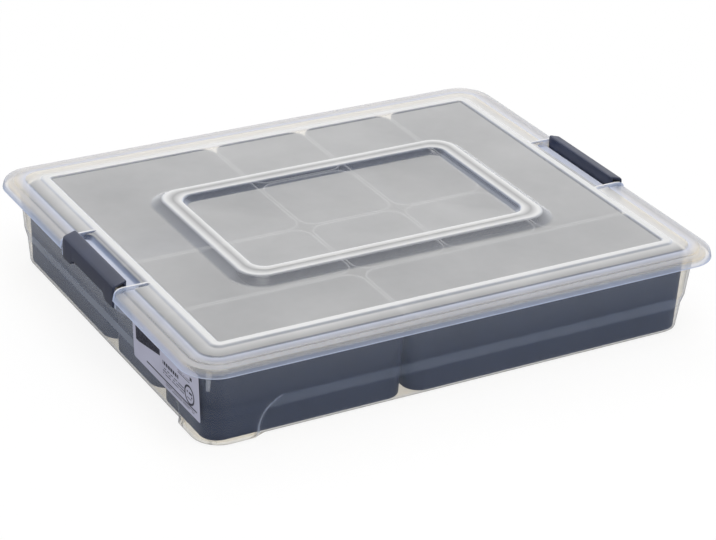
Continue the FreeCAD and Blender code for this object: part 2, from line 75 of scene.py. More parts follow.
# Boxes of the frame that the sizes below start from.
LID_LOW, LID_HIGH = (np.array(corner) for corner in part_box("lid"))
LABEL_LOW, LABEL_HIGH = (np.array(corner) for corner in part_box("product_label"))
BASE_HIGH = np.array(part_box("box_base")[1])
CLIP_HIGH = np.array(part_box("clip_right")[1])
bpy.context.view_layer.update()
TRAYS = sorted(node for node in frame["nodes"] if node.startswith("tray_"))

# Segments of every softened edge, and of every corner in plan.
EDGE_STEPS = 4
CORNER_STEPS = 12

# Columns of the rows that a profile is written in, and the two in which its lengths are measured.
HALF_X, LEVEL, MILK, SOFT = 0, 3, 4, 5
PLANE = [HALF_X, LEVEL]

# Row of the lid's profiles at the outer foot of the ridge, from which a notch differs.
RIDGE_FOOT = 12


def distance(name, millimetres, description):
    """A length of the object, shown in the sidebar in the scene's own unit."""
    return FloatProperty(
        name=name, description=description, default=millimetres * MM, unit="LENGTH", subtype="DISTANCE"
    )


def tint(name, colour, description):
    """A colour of the object, as linear red, green and blue."""
    return FloatVectorProperty(
        name=name, description=description, default=colour, size=3, min=0, max=1, subtype="COLOR"
    )


class LidSizes(bpy.types.PropertyGroup):
    flare: distance("Skirt flare", 1.3, "Outward flare of the skirt at its lower edge")
    corner: distance("Corner", 23, "Corner radius of the lid in plan")
    skirt: distance("Skirt height", 5.7, "Height of the skirt under the rim")
    skirt_wall: distance("Skirt wall", 1.6, "Wall of the skirt")
    wall: distance("Wall", 1.4, "Wall of the field and the ring")
    step: distance("Rim step", 0.8, "Rise of each of the two steps of the rim")
    band: distance("Rim band", 5.5, "Width of the outer band of the rim")
    shoulder: distance("Rim shoulder", 7.5, "Width of the second band of the rim")
    ridge_inset: distance("Ridge inset", 23, "Lid edge to the ridge")
    ridge_band: distance("Ridge width", 7, "Width of the ridge round the field")
    ridge_rise: distance("Ridge height", 1.3, "Height of the ridge above the field")
    ring_length: distance("Ring length", 250, "Length of the raised ring at its foot")
    ring_width: distance("Ring width", 158, "Width of the raised ring at its foot")
    ring_slope: distance("Ring slope", 8, "Plan width of the outer slope of the ring")
    ring_band: distance("Ring top", 11, "Width of the flat top of the ring")
    ring_inner: distance("Ring inner slope", 3.5, "Plan width of the inner slope of the ring")
    ring_corner: distance("Ring corner", 22, "Corner radius of the ring at its foot")
    notch_span: distance("Notch span", 82.4, "Clear width of each clip notch")
    notch_depth: distance("Notch depth", 10.2, "Lid edge to the inner end of the open notch")
    notch_border: distance("Notch border", 1.8, "Width of the border round each notch")
    ledge_depth: distance("Ledge depth", 10.5, "Depth of the ledge behind each notch")
    ledge_corner: distance("Ledge corner", 5, "Corner radius of the ledge")
    rib_inset: distance("Rib inset", 12.1, "Lid edge to the rib that finds the box")
    rib_wall: distance("Rib wall", 1.3, "Thickness of the locating rib")


class BoxSizes(bpy.types.PropertyGroup):
    wall: distance("Wall", 1.6, "Wall of the box")
    floor: distance("Floor", 1.2, "Thickness of the floor")
    corner: distance("Corner", 15, "Corner radius of the wall")
    base_round: distance("Base round", 4.6, "Length over which the floor turns into the wall")
    rim_inset: distance("Rim inset", 10, "Lid edge to the wall just under the flange")
    upper_lean: distance("Upper lean", 2, "Inward lean of the upper wall down to the step")
    step_top: distance("Step top", 28.5, "Height where the wall steps inward")
    step_drop: distance("Step drop", 9.5, "Height of the sloping step band")
    step_depth: distance("Step depth", 1.8, "How far the wall steps inward")
    foot_lean: distance("Foot lean", 1.4, "Inward lean of the lower wall down to the base")
    post_reach: distance("Post reach", 51, "Lid edge to the foot of a corner post along the wall")
    post_flare: distance("Post flare", 16, "How much wider a corner post is under the upper wall")
    post_lean: distance("Post lean", 0.7, "Inward lean of a corner post below the step")
    foot_rise: distance("Foot rise", 0.25, "How far the underside between the posts clears the ground")
    flange_inset: distance("Flange inset", 2.7, "Lid edge to the edge of the flange")
    flange_wall: distance("Flange wall", 1.5, "Thickness of the flange")
    lip_inset: distance("Lip inset", 4.8, "Lid edge to the upstanding lip")
    lip_wall: distance("Lip wall", 1.4, "Thickness of the upstanding lip")
    lip_rise: distance("Lip rise", 2.2, "Height of the lip above the flange")
    lip_gap: distance("Lip gap", 3, "End of the lip to the side of the clip notch")
    lug_wall: distance("Lug wall", 2.6, "Thickness of each hinge lug")
    lug_height: distance("Lug height", 16, "Height of each hinge lug below the flange")
    lug_gap: distance("Lug gap", 0.4, "Side play between a clip foot and its lug")
    corner_rib: distance("Corner rib", 12.5, "Lid edge to the small rib under the flange of a long side")


class ClipSizes(bpy.types.PropertyGroup):
    length: distance("Length", 81, "Length of each clip along the short side")
    wall: distance("Wall", 2, "Wall of the clips")
    shoulder: distance("Shoulder", 67.5, "Height where the face turns inward")
    reach: distance("Reach", 9.0, "Clip face to the top edge in plan")
    nose: distance("Nose", 1.1, "Plan width of the sloping nose")
    nose_drop: distance("Nose drop", 0.6, "Fall of the nose below the top edge")
    toe: distance("Toe", 60, "Height of the end of the hook")
    skirt: distance("Skirt", 56, "Height of the lower edge between the feet")
    hinge_level: distance("Hinge level", 53.5, "Height of the hinge axis")
    hinge_inset: distance("Hinge inset", 3.8, "Clip face to the hinge axis")
    barrel: distance("Barrel", 2.2, "Radius of the hinge barrel")
    pin: distance("Pin", 1.2, "Radius of the hinge pins")
    foot: distance("Foot", 11, "Width of each clip foot")
    taper: distance("Foot taper", 6, "Width of the sloping edge beside each foot")


class TraySizes(bpy.types.PropertyGroup):
    wall: distance("Wall", 1.3, "Wall of the trays")
    floor: distance("Floor", 1.4, "Floor of the trays")
    lean: distance("Lean", 1.6, "Inward lean of a tray wall over its height")
    corner: distance("Corner", 12, "Corner radius of the trays")
    drop: distance("Drop", 0.8, "How far the trays settle towards the floor of the box")


class Finishes(bpy.types.PropertyGroup):
    milky: tint("Milky sides", (0.49, 0.61, 0.88), "Colour of the haze in upright walls of the lid")
    milky_rim: tint("Milky rim", (0.68, 0.725, 0.86), "Colour of the haze in the rim of the lid")
    milky_top: tint("Milky top", (0.90, 0.90, 0.90), "Colour of the haze in level parts of the lid")
    clear: tint("Clear sides", (0.53, 0.63, 0.84), "Colour of the haze in the walls and rim of the box")
    clear_base: tint("Clear base", (0.88, 0.86, 0.80), "Colour of the haze in level parts of the box")
    navy: tint("Tray plastic", (0.016, 0.026, 0.072), "Colour of the trays")
    # The tray rim colour is a painted highlight: a lighter colour on the rims in place of the gloss they
    # catch.
    painted_rim_highlight: tint("Tray rims", (0.22, 0.24, 0.29), "Colour of the trays' rims, which catch the light")
    clip: tint("Clip plastic", (0.014, 0.021, 0.052), "Colour of the clips")
    paper: tint("Label paper", (0.46, 0.47, 0.60), "Colour of the label")
    ink: tint("Label ink", (0.012, 0.013, 0.03), "Colour of the print on the label")


class StageSizes(bpy.types.PropertyGroup):
    focal: FloatProperty(name="Lens", description="Focal length", default=123.27, unit="CAMERA")
    pitch: FloatProperty(name="Pitch", description="How far the camera looks down",
                         default=math.radians(27.06), subtype="ANGLE")
    yaw: FloatProperty(name="Yaw", description="How far the camera looks round to the right",
                       default=math.radians(30.80), subtype="ANGLE")
    roll: FloatProperty(name="Roll", description="Tilt of the picture",
                        default=math.radians(2.74), subtype="ANGLE")
    away: distance("Away", 1733.87, "Camera to the foot of the box along the view")
    side: distance("Side", -6.82, "Sideways shift of the box in the view")
    drop: distance("Drop", 15.61, "Downward shift of the box in the view")
    floor: distance("Floor", 3000, "Length of the pale floor")


SETTINGS = {
    "box_lid": LidSizes,
    "box_shell": BoxSizes,
    "box_clips": ClipSizes,
    "box_trays": TraySizes,
    "box_finishes": Finishes,
    "box_stage": StageSizes,
}


# Forms

def smooth(low, high, value):
    """Nought below low, one above high, and the cubic 3t^2 - 2t^3 between them."""
    t = np.clip((value - low) / (high - low), 0, 1)
    return t * t * (3 - 2 * t)


def round_loop(along, across):
    """Stations of a loop round a rectangle, counted against the clock from the middle of +X.

    along and across are rising fractions of the straight sides along X and Y. Each station holds the
    fractions of the corner centre that it uses in X and Y, then the direction that it faces. On a
    straight side the direction is fixed and one fraction runs from -1 to 1, and round a corner both
    fractions stay at their ends while the direction turns by a quarter."""
    along, across = np.asarray(along), np.asarray(across)
    turn = np.linspace(0, math.pi / 2, CORNER_STEPS + 1)

    def side(x, y, nx, ny):
        return np.stack(np.broadcast_arrays(x, y, nx, ny), axis=1).astype(float)

    def corner(x, y, start):
        return side(np.full(turn.shape, x), y, np.cos(start + turn), np.sin(start + turn))

    quarter = math.pi / 2
    return np.concatenate([
        side(1, across, 1, 0), corner(1, 1, 0),
        side(-along, 1, 0, 1), corner(-1, 1, quarter),
        side(-1, -across, -1, 0), corner(-1, -1, 2 * quarter),
        side(along, -1, 0, -1), corner(1, -1, 3 * quarter),
    ])


def stretch(fraction, reach, widest, keep):
    """Places of the stations along a straight side, where reach is its half length in each row.

    Up to keep from the middle a station has the same place in every row, and from there to the corner
    it is shared out in proportion. A row shorter than keep is shared out all the way."""
    place = np.abs(fraction) * widest
    beyond = keep + (place - keep) * (reach - keep) / (widest - keep)
    kept = np.where(place <= keep, place, beyond)
    return np.sign(fraction) * np.where(reach > keep, kept, place * reach / widest)


def carry_round(rows, loop, keep=(0.0, 0.0)):
    """Carry rows of half length, half width, corner radius and height round a loop.

    A point is the corner centre times its station's fractions, plus the corner radius times the
    direction that the station faces."""
    half_x, half_y, radius, level = (rows[:, [column]] for column in range(4))
    reach_x, reach_y = half_x - radius, half_y - radius
    x = stretch(loop[None, :, 0], reach_x, reach_x.max(), keep[0]) + radius * loop[None, :, 2]
    y = stretch(loop[None, :, 1], reach_y, reach_y.max(), keep[1]) + radius * loop[None, :, 3]
    return np.stack([x, y, np.broadcast_to(level, x.shape)], axis=2)


def soften(corners, plane, closed=False):
    """Round the corners of a profile, each over the length that its last value gives.

    Every corner becomes the parabola (1-t)^2 a + 2t(1-t) c + t^2 b between the points a and b, which
    lie that length from the corner c towards its neighbours. plane names the two columns in which the
    length is measured, and all other columns are carried along."""
    corners = np.asarray(corners, float)
    places, length = corners[:, :-1], corners[:, -1:]
    before, after = np.roll(places, 1, axis=0), np.roll(places, -1, axis=0)
    if not closed:
        before[0], after[-1] = places[0], places[-1]

    def towards(other):
        gap = other - places
        span = np.linalg.norm(gap[:, plane], axis=1, keepdims=True)
        return places + gap * np.minimum(length / np.maximum(span, 1e-9), 0.48)

    a, b = towards(before), towards(after)
    t = np.linspace(0, 1, EDGE_STEPS + 1)[None, :, None]
    c = places[:, None, :]
    curve = (1 - t) ** 2 * a[:, None, :] + 2 * t * (1 - t) * c + t ** 2 * b[:, None, :]
    return curve.reshape(-1, places.shape[1])


def grid_faces(rows, columns, around=False):
    """Quads between neighbouring rows and columns of a grid whose columns close on themselves.

    With around the rows close on themselves too."""
    row = np.arange(rows if around else rows - 1)[:, None]
    column = np.arange(columns)[None, :]
    low, high = row * columns, (row + 1) % rows * columns
    following = (column + 1) % columns
    return np.stack([low + column, low + following, high + following, high + column], axis=2).reshape(-1, 4)


def new_piece(name, points, faces, body, material, milk=None, sharp=38):
    """Put points and faces into a mesh, close it and hang the piece on its body.

    Doubles are merged and the faces turned outwards. milk is how hazy the plastic is at each point."""
    mesh = bpy.data.meshes.new(name)
    mesh.from_pydata(points, [], faces if isinstance(faces, list) else faces.tolist())
    if milk is not None:
        attribute = mesh.attributes.new("milk", "FLOAT", "POINT")
        attribute.data.foreach_set("value", np.asarray(milk, np.float32).ravel())
    shape = bmesh.new()
    shape.from_mesh(mesh)
    bmesh.ops.remove_doubles(shape, verts=shape.verts, dist=2e-6)
    bmesh.ops.dissolve_degenerate(shape, edges=shape.edges, dist=2e-6)
    bmesh.ops.recalc_face_normals(shape, faces=shape.faces)
    shape.to_mesh(mesh)
    shape.free()
    mesh.shade_smooth()
    mesh.set_sharp_from_angle(angle=math.radians(sharp))
    mesh.materials.append(material)
    piece = bpy.data.objects.new(name, mesh)
    bpy.context.scene.collection.objects.link(piece)
    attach(piece, body)
    return piece


def join_parts(parts):
    """Put several grids of points and faces after one another in one list."""
    points, faces, first = [], [], 0
    for part_points, part_faces in parts:
        part_points = np.reshape(part_points, (-1, 3))
        points.append(part_points)
        faces += [[first + corner for corner in face] for face in part_faces]
        first += len(part_points)
    return np.concatenate(points), faces


def rod(start, end, radius, sides=20):
    """A round bar along Y: circles of the radius at both ends, with a small chamfer."""
    angle = np.linspace(0, 2 * math.pi, sides, endpoint=False)
    chamfer = 0.25 * radius
    places = np.array([start, start, start + (0, chamfer, 0), end - (0, chamfer, 0), end, end])
    radii = np.array([0, radius - chamfer, radius, radius, radius - chamfer, 0])
    ring = np.stack([np.cos(angle), np.zeros_like(angle), np.sin(angle)], axis=1)
    points = places[:, None, :] + radii[:, None, None] * ring[None]
    return points, grid_faces(len(radii), sides).tolist()


def plate(outline, start, end):
    """A flat plate across Y: an outline in X and Z, filled at both ends and joined by quads."""
    outline = np.asarray(outline)
    count = len(outline)
    points = np.stack([np.insert(outline, 1, place, axis=1) for place in (start, end)])
    faces = grid_faces(2, count).tolist()
    faces += [list(range(count)), list(range(2 * count - 1, count - 1, -1))]
    return points, faces


# Materials

class Tree:
    """A new material whose nodes are added one by one."""

    def __init__(self, name):
        self.material = bpy.data.materials.new(name)
        self.material.use_nodes = True
        self.tree = self.material.node_tree
        self.tree.nodes.clear()

    def add(self, kind, output=0, settings=(), **inputs):
        """Add a node, fill or link its inputs by name or identifier, and return one output."""
        node = self.tree.nodes.new("ShaderNode" + kind)
        for name, value in dict(settings).items():
            setattr(node, name, value)
        for name, value in inputs.items():
            wanted = name.replace("_", " ")
            found = [item for item in node.inputs if item.identifier == name or item.name == wanted]
            found = [item for item in found if item.enabled] or found
            if isinstance(value, bpy.types.NodeSocket):
                self.tree.links.new(value, found[0])
            else:
                found[0].default_value = value
        return node.outputs[output]

    def math(self, operation, first, second=0.5, third=0.5, clamp=False):
        """One step of arithmetic."""
        node = self.tree.nodes.new("ShaderNodeMath")
        node.operation, node.use_clamp = operation, clamp
        for item, value in zip(node.inputs, (first, second, third)):
            if isinstance(value, bpy.types.NodeSocket):
                self.tree.links.new(value, item)
            else:
                item.default_value = value
        return node.outputs[0]

    def between(self, value, low, high, start=0.0, end=1.0):
        """Carry a value from one range to another and hold it there."""
        return self.add("MapRange", Value=value, From_Min=low, From_Max=high, To_Min=start, To_Max=end)

    def blend(self, factor, first, second):
        """Mix two colours."""
        node = self.tree.nodes.new("ShaderNodeMix")
        node.data_type = "RGBA"
        for item, value in zip((node.inputs[0], node.inputs[6], node.inputs[7]), (factor, first, second)):
            if isinstance(value, bpy.types.NodeSocket):
                self.tree.links.new(value, item)
            else:
                item.default_value = value
        return node.outputs[2]

    def mix_shaders(self, factor, first, second):
        """Mix two shaders."""
        node = self.tree.nodes.new("ShaderNodeMixShader")
        for item, value in zip(node.inputs, (factor, first, second)):
            if isinstance(value, bpy.types.NodeSocket):
                self.tree.links.new(value, item)
            else:
                item.default_value = value
        return node.outputs[0]

    def place(self):
        """Object coordinates in metres."""
        return self.add("TexCoord", output=3)

    def noise(self, scale, detail=2.0, roughness=0.5, stretched=None):
        """Cloudy noise on the object's own coordinates, scale in features per metre."""
        vector = self.place()
        if stretched:
            vector = self.add("Mapping", Vector=vector, Scale=stretched)
        return self.add("TexNoise", Vector=vector, Scale=scale, Detail=detail, Roughness=roughness)

    def bump(self, height, deep):
        """Raise the surface by a height pattern, deep in metres."""
        return self.add("Bump", Height=height, Distance=deep, Strength=1.0)

    def finish(self, shader):
        """Show a shader on the surface and return the material."""
        node = self.tree.nodes.new("ShaderNodeOutputMaterial")
        self.tree.links.new(shader, node.inputs["Surface"])
        return self.material


def rgba(colour, factor=1.0):
    """A colour with full alpha, made lighter or darker by a factor."""
    return (*(min(1.0, part * factor) for part in colour), 1.0)


def mirror_share(tree, head_on):
    """How much a thin wall mirrors: head_on + (1 - head_on)(1 - cos)^5, and 1 - cos by itself."""
    facing = tree.add("LayerWeight", output=1, Blend=0.5)
    return facing, tree.math("MULTIPLY_ADD", tree.math("POWER", facing, 5.0), 1 - head_on, head_on)


def see_through(name, side, rim, top, through, least, steep, head_on, roughness, grain, heights):
    """Thin plastic: what is behind it, a haze that thickens as the wall is seen edge on, and a gloss.

    The haze is (least + steep * facing) times the milk attribute, facing being 1 - cos of the angle.
    Upright walls have the side colour. Level parts have the rim colour up to the first of the two
    heights and the top colour from the second on. A bluish haze lets warmer light through. Milk is
    nought on the inner skin of a wall, which then shows nothing, so the outer skin stands for both."""
    tree = Tree(name)
    fine = tree.noise(700, 2)
    clouds = tree.noise(14, 4, 0.6)
    scratches = tree.noise(60, 5, 0.7, stretched=(1.0, 9.0, 1.0))
    normal = tree.bump(tree.math("MULTIPLY_ADD", clouds, 8.0, fine), grain)
    facing, mirror = mirror_share(tree, head_on)
    milk = tree.add("Attribute", output=2, settings={"attribute_name": "milk"})
    amount = tree.math("MULTIPLY", tree.math("MULTIPLY_ADD", facing, steep, least), milk)
    amount = tree.math("MULTIPLY", amount, tree.between(clouds, 0.3, 0.7, 0.92, 1.08), clamp=True)
    upright = tree.add("SeparateXYZ", output=2, Vector=tree.add("TexCoord", output=1))
    height = tree.add("SeparateXYZ", output=2, Vector=tree.place())
    level = tree.math("POWER", tree.math("ABSOLUTE", upright), 1.5)
    past = tree.between(height, *heights)
    colour = tree.blend(level, rgba(side), tree.blend(past, rgba(rim), rgba(top)))
    lit = tree.add("BsdfDiffuse", Color=colour, Roughness=0.5, Normal=normal)
    warm = tree.blend(tree.math("MULTIPLY", level, past), rgba((1.0, 0.93, 0.86)), rgba(top))
    behind = tree.add("BsdfTranslucent", Color=warm, Normal=normal)
    cloudy = tree.mix_shaders(0.25, lit, behind)
    bluish = tree.math("MULTIPLY", level, tree.math("SUBTRACT", 1.0, past))
    bluish = tree.math("MULTIPLY", bluish, tree.math("GREATER_THAN", milk, 0.7))
    passed = tree.blend(bluish, rgba(through), rgba((1.0, 0.94, 0.80)))
    wall = tree.mix_shaders(amount, tree.add("BsdfTransparent", Color=passed), cloudy)
    gloss = tree.add(
        "BsdfGlossy", Color=rgba((1, 1, 1)), Normal=normal,
        Roughness=tree.between(scratches, 0.35, 0.75, roughness, roughness + 0.06),
    )
    mirror = tree.math("MULTIPLY", mirror, tree.math("GREATER_THAN", milk, 0.05))
    return tree.finish(tree.mix_shaders(mirror, wall, gloss))


def solid_plastic(name, colour, edge, gloss, roughness, grain, worn):
    """Opaque moulded plastic with a fine grain, faint flow clouds and paler worn spots.

    The edge colour shows as far as the milk attribute says; on the trays it is a painted highlight along
    the rims."""
    tree = Tree(name)
    fine = tree.noise(1400, 2)
    clouds = tree.noise(35, 4, 0.6)
    rubbed = tree.noise(9, 6, 0.65)
    base = tree.blend(tree.between(clouds, 0.3, 0.7), rgba(colour, 0.9), rgba(colour, 1.15))
    base = tree.blend(tree.between(rubbed, 0.55, 0.8, 0.0, worn), base, rgba(colour, 2.6))
    milk = tree.add("Attribute", output=2, settings={"attribute_name": "milk"})
    # Painted highlight: where milk is 1 the surface takes the edge colour, which on the trays is the
    # lighter rim colour.
    base = tree.blend(milk, base, rgba(edge))
    touched = tree.math("ADD", fine, rubbed)
    shader = tree.add(
        "BsdfPrincipled", Base_Color=base, IOR=1.49, Specular_IOR_Level=gloss,
        Roughness=tree.between(touched, 0.6, 1.4, roughness - 0.05, roughness + 0.06),
        Normal=tree.bump(fine, grain),
    )
    return tree.finish(shader)


def inside(tree, value, low, high):
    """One where a value lies between two limits, nought elsewhere."""
    return tree.math("MULTIPLY", tree.math("GREATER_THAN", value, low), tree.math("LESS_THAN", value, high))


def printed_paper(name, paper, ink):
    """A paper label with plain printed blocks, bars and a ring, placed by millimetres from its far end."""
    tree = Tree(name)
    start = (0.0, -LABEL_HIGH[1] * 1000, -LABEL_LOW[2] * 1000)
    local = tree.add("Mapping", Vector=tree.place(), Scale=(1000, 1000, 1000), Location=start)
    split = tree.add("SeparateXYZ", Vector=local).node
    across = tree.math("MULTIPLY", split.outputs[1], -1.0)
    up = split.outputs[2]

    def block(x0, x1, z0, z1):
        return tree.math("MULTIPLY", inside(tree, across, x0, x1), inside(tree, up, z0, z1))

    def bars(x0, x1, z0, z1, pitch, thick, word):
        rows = tree.math("LESS_THAN", tree.math("FRACT", tree.math("DIVIDE", up, pitch)), thick)
        row = tree.math("FLOOR", tree.math("DIVIDE", up, pitch))
        cell = tree.add("CombineXYZ", X=tree.math("FLOOR", tree.math("DIVIDE", across, word)), Y=row)
        chance = tree.add("TexWhiteNoise", settings={"noise_dimensions": "3D"}, Vector=cell)
        filled = tree.math("MULTIPLY", rows, tree.math("GREATER_THAN", chance, 0.22))
        return tree.math("MULTIPLY", filled, block(x0, x1, z0, z1))

    ring_across, ring_up = 83.0, 13.4
    dx = tree.math("SUBTRACT", across, ring_across)
    dz = tree.math("SUBTRACT", up, ring_up)
    away = tree.math("SQRT", tree.math("ADD", tree.math("POWER", dx, 2.0), tree.math("POWER", dz, 2.0)))
    slanted = tree.math("MULTIPLY_ADD", tree.math("MAXIMUM", across, 9.0), -0.175, 1.6)
    slanted = tree.math("ADD", up, slanted)
    letters = tree.math("LESS_THAN", tree.math("FRACT", tree.math("DIVIDE", across, 3.3)), 0.74)
    marks = [
        tree.math("MULTIPLY", block(4.5, 41, 12, 25), tree.math("GREATER_THAN", slanted, 15.0)),
        tree.math("MULTIPLY", block(44.6, 67.6, 16.9, 19.7), letters),
        bars(44.6, 76, 9.3, 15.4, 2.0, 0.36, 1.6),
        bars(67, 84, 22.4, 24.4, 2.0, 0.5, 1.4),
        block(84.5, 87.5, 25.0, 27.5),
        block(19.8, 93, 5.2, 6.3),
        bars(48, 90, 2.0, 4.6, 1.3, 0.4, 1.1),
        inside(tree, away, 5.6, 7.1),
        tree.math("MULTIPLY", bars(79.5, 87, 10.4, 16.4, 2.4, 0.6, 1.5), tree.math("LESS_THAN", away, 4.8)),
    ]
    total = marks[0]
    for mark in marks[1:]:
        total = tree.math("MAXIMUM", total, mark)
    fibres = tree.noise(700, 4, 0.7)
    clouds = tree.noise(60, 3)
    base = tree.blend(tree.between(clouds, 0.3, 0.7), rgba(paper, 0.94), rgba(paper, 1.05))
    worn = tree.math("MULTIPLY", total, tree.between(fibres, 0.3, 0.6, 0.88, 1.0))
    base = tree.blend(worn, base, rgba(ink))
    shader = tree.add(
        "BsdfPrincipled", Base_Color=base, Roughness=tree.between(fibres, 0.3, 0.7, 0.5, 0.65),
        Specular_IOR_Level=0.25,
        Normal=tree.bump(fibres, 2e-5),
    )
    return tree.finish(shader)


def finish(name):
    """Find a material by name, or make it from the colours in the sidebar."""
    if name in bpy.data.materials:
        return bpy.data.materials[name]
    colours = bpy.context.scene.box_finishes
    if name == "milky_lid":
        lid = bpy.context.scene.box_lid
        field = LID_LOW[2] + lid.skirt + 2 * lid.step
        return see_through(name, colours.milky, colours.milky_rim, colours.milky_top, (0.985, 0.97, 0.94),
                           0.16, 0.62, 0.035, 0.16, 8e-7, (field - 0.75 * MM, field - 0.15 * MM))
    if name == "clear_box":
        return see_through(name, colours.clear, colours.clear, colours.clear_base, (0.985, 0.97, 0.935),
                           0.042, 0.26, 0.01, 0.1, 6e-7, (30 * MM, 12 * MM))
    if name == "navy_tray":
        # The trays' rims get the lighter rim colour, a painted highlight.
        return solid_plastic(name, colours.navy, colours.painted_rim_highlight, 0.35, 0.4, 1.5e-6, 0.12)
    if name == "dark_clip":
        return solid_plastic(name, colours.clip, colours.clip, 0.6, 0.36, 2.5e-6, 0.25)
    return printed_paper(name, colours.paper, colours.ink)


# Lid

def lid_half():
    """Half length and half width over the rim of the lid."""
    flare = bpy.context.scene.box_lid.flare
    return LID_HIGH[0] - flare, LID_HIGH[1] - flare


def lid_profiles(lid):
    """The lid's profile from the middle of its top, round the skirt, to the middle of its underside.

    Each corner holds half length, half width, radius, height, milk and softening. The same corners are
    given three times: for the plain rim, for the border beside a notch and for the notch itself."""
    half_x, half_y = lid_half()
    low = LID_LOW[2]
    rim = low + lid.skirt
    shoulder, field, top = rim + lid.step, rim + 2 * lid.step, LID_HIGH[2]
    under = field - lid.wall
    seat = BASE_HIGH[2]
    rib_end = seat - 3.4 * MM
    crest = field + lid.ridge_rise
    ring_x, ring_y = lid.ring_length / 2, lid.ring_width / 2

    def around(inset, level, milk, soft):
        return (half_x - inset, half_y - inset, lid.corner - inset * 0.7, level, milk, soft * MM)

    def ring(inset, tighter, level, milk, soft):
        radius = lid.ring_corner - tighter * MM
        return (ring_x - inset, ring_y - inset, radius, level, milk, soft * MM)

    slope = lid.ring_slope
    inner = slope + lid.ring_band
    foot = inner + lid.ring_inner
    ridge, inside_ridge = lid.ridge_inset, lid.ridge_inset + lid.ridge_band
    middle = slope + lid.ring_band / 2
    plain = [
        (ring_x - ring_y, 0, 0, field, 1.08, 0),
        ring(foot, 14, field, 1.08, 0.8),
        ring(inner + 1.0 * MM, 12, top - 0.3 * (top - field), 0.7, 0),
        ring(inner, 11, top, 2.2, 0.8),
        ring(middle, 8.5, top, 0.95, 0),
        ring(slope, 6, top, 2.2, 0.8),
        ring(slope - 1.8 * MM, 4.6, top - 0.22 * (top - field), 0.7, 0),
        ring(0, 0, field, 1.0, 1.2),
        around(inside_ridge + 1.4 * MM, field, 1.08, 0),
        around(inside_ridge + 0.4 * MM, field, 0.7, 0.5),
        around(inside_ridge - 1.0 * MM, crest, 2.3, 0.9),
        around(ridge + 1.6 * MM, crest, 2.3, 1.2),
        around(ridge, field, 1.6, 0.8),
        around(lid.band + lid.shoulder + 0.9 * MM, field, 0.9, 0.4),
        around(lid.band + lid.shoulder, shoulder, 1.8, 0.4),
        around(lid.band + 0.8 * MM, shoulder, 0.7, 0.4),
        around(lid.band, rim, 0.92, 0.4),
        around(0, rim, 0.86, 2.6),
        around(-lid.flare * 0.86, low + 0.8 * MM, 1.7, 0),
        around(-lid.flare, low, 4.0, 0.4),
        around(lid.skirt_wall - lid.flare, low, 0, 0.4),
        around(lid.skirt_wall, seat, 0, 0.3),
        around(lid.rib_inset, seat, 0.5, 0.3),
        around(lid.rib_inset, rib_end, 1, 0.3),
        around(lid.rib_inset + lid.rib_wall, rib_end, 1, 0.3),
        around(lid.rib_inset + lid.rib_wall, under, 0, 0.3),
        around(ridge - 0.5 * MM, under, 0, 0.3),
        ring(1.2 * MM, 1, under, 0, 1.2),
        ring(slope + 0.8 * MM, 6.6, top - lid.wall, 0, 1.0),
        ring(inner - lid.wall, 9.6, top - lid.wall, 0, 0.9),
        ring(foot - lid.wall, 12.6, under, 0, 1.0),
        (ring_x - ring_y, 0, 0, under, 0, 0),
    ]
    plain = np.array(plain)
    border, notch = plain.copy(), plain.copy()
    open_x = half_x - lid.notch_depth
    ledge_x = open_x - lid.ledge_depth
    low_ledge = seat - lid.wall - 0.5 * MM
    high_ledge = low_ledge + lid.wall
    back_x = ledge_x - lid.notch_border
    rise = crest + 0.3 * MM

    def change(profile, start, half_lengths, levels, milks, softs):
        rows = slice(start, start + len(half_lengths))
        profile[rows, HALF_X], profile[rows, LEVEL] = half_lengths, levels
        profile[rows, MILK], profile[rows, SOFT] = milks, np.array(softs) * MM

    change(
        border, RIDGE_FOOT,
        [back_x, ledge_x + 2 * MM, open_x - 2 * MM, half_x - 6 * MM, half_x - 2.6 * MM, half_x],
        [rise, rise, rise, rise, rise - 0.5 * MM, rim + 0.9 * MM],
        2.4, [0.4, 0, 0, 1.5, 1.5, 1.5],
    )
    change(
        notch, RIDGE_FOOT,
        [back_x, ledge_x, ledge_x + 1.6 * MM, ledge_x + 4 * MM, open_x - 3 * MM, open_x, open_x, open_x],
        [field, field, *[high_ledge] * 4, (low_ledge + high_ledge) / 2, low_ledge],
        [0.9, 1.0, 1.9, 1.9, 1.9, 1.9, 1.6, 1.6], [0.3, 0.8, 0.8, 0, 0, 0.3, 0, 0.3],
    )
    change(
        notch, RIDGE_FOOT + 8,
        [*(open_x - np.array([0.4, 2, 4, 6, 8]) * MM), back_x, back_x - 0.3 * MM],
        [low_ledge] * 6 + [under],
        0, [0.2, 0, 0, 0, 0, 0.3, 0.3],
    )
    return plain, border, notch


